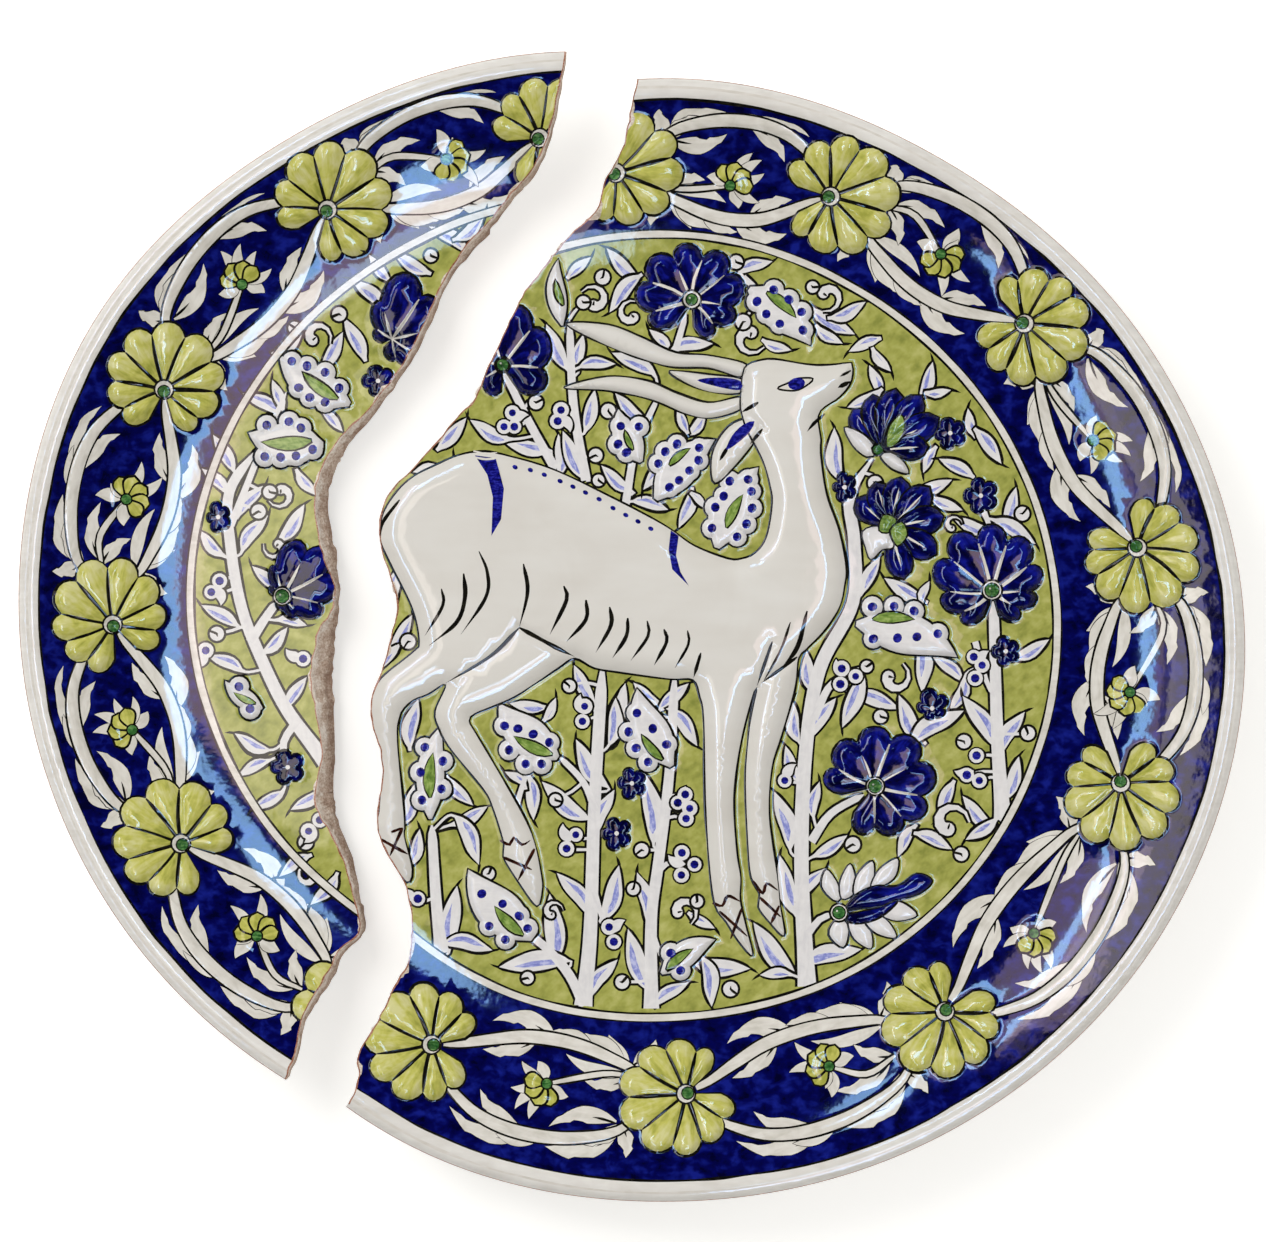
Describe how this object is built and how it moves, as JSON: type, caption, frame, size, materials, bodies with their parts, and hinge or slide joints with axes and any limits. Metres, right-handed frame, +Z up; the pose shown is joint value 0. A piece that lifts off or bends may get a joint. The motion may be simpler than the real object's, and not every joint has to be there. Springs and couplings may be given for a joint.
{
  "type": "broken plate in pieces",
  "caption": "Relief-decorated glazed earthenware plate, broken across into a large and a crescent-shaped fragment that lie apart.",
  "frame": {"origin": "on the table, under the middle of the box round both fragments", "axes": "+Z up out of the plate's face, +Y towards the top of the picture on the plate, +X across both fragments from the small one to the large one"},
  "size_m": [0.44, 0.4123, 0.0384],
  "materials": {
    "painted_glaze_large": "gloss",
    "painted_glaze_small": "gloss"
  },
  "bodies": {
    "root": {"large_fragment": "painted_glaze_large", "small_fragment": "painted_glaze_small"}
  },
  "joints": []
}
